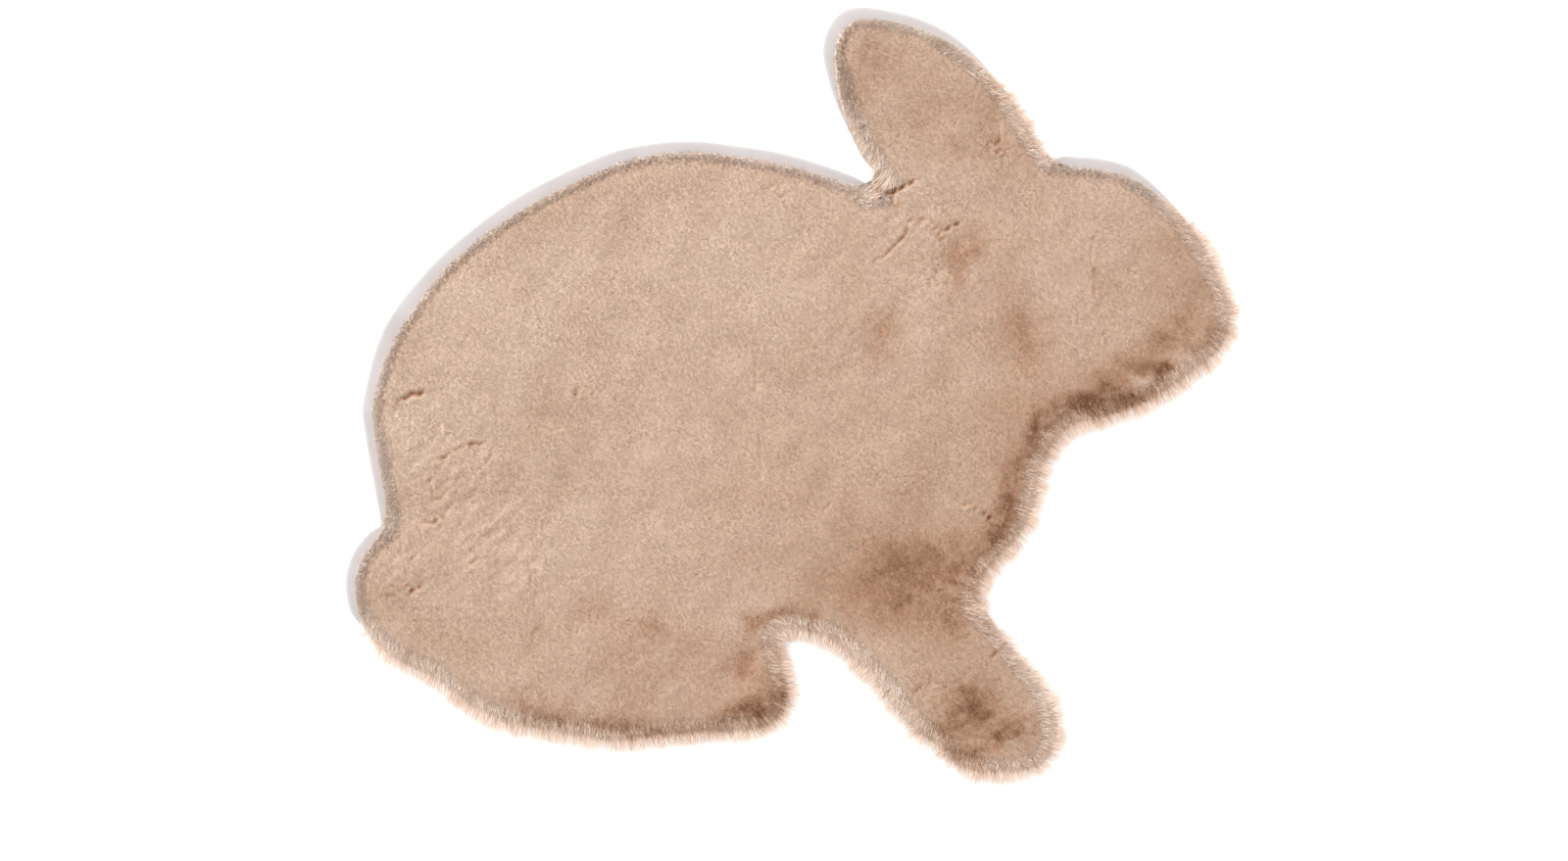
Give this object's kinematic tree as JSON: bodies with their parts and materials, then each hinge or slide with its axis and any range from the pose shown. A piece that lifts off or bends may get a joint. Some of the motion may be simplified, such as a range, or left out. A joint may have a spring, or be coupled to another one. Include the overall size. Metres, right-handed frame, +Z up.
{
  "type": "rabbit shaped rug",
  "caption": "Flat plush floor rug in the outline of a sitting rabbit seen from the side, with a soft leaning pile over a thin pale backing.",
  "frame": {"origin": "on the floor, in the middle of the rug's box", "axes": "+X towards the rabbit's nose, +Y towards the tip of its ear, +Z up out of the pile"},
  "size_m": [0.8994, 0.7818, 0.0234],
  "materials": {
    "backing": "matt brushed backing cloth",
    "pile": "soft dense fur pile"
  },
  "bodies": {
    "root": {"backing": "backing", "pile": "pile"}
  },
  "joints": []
}
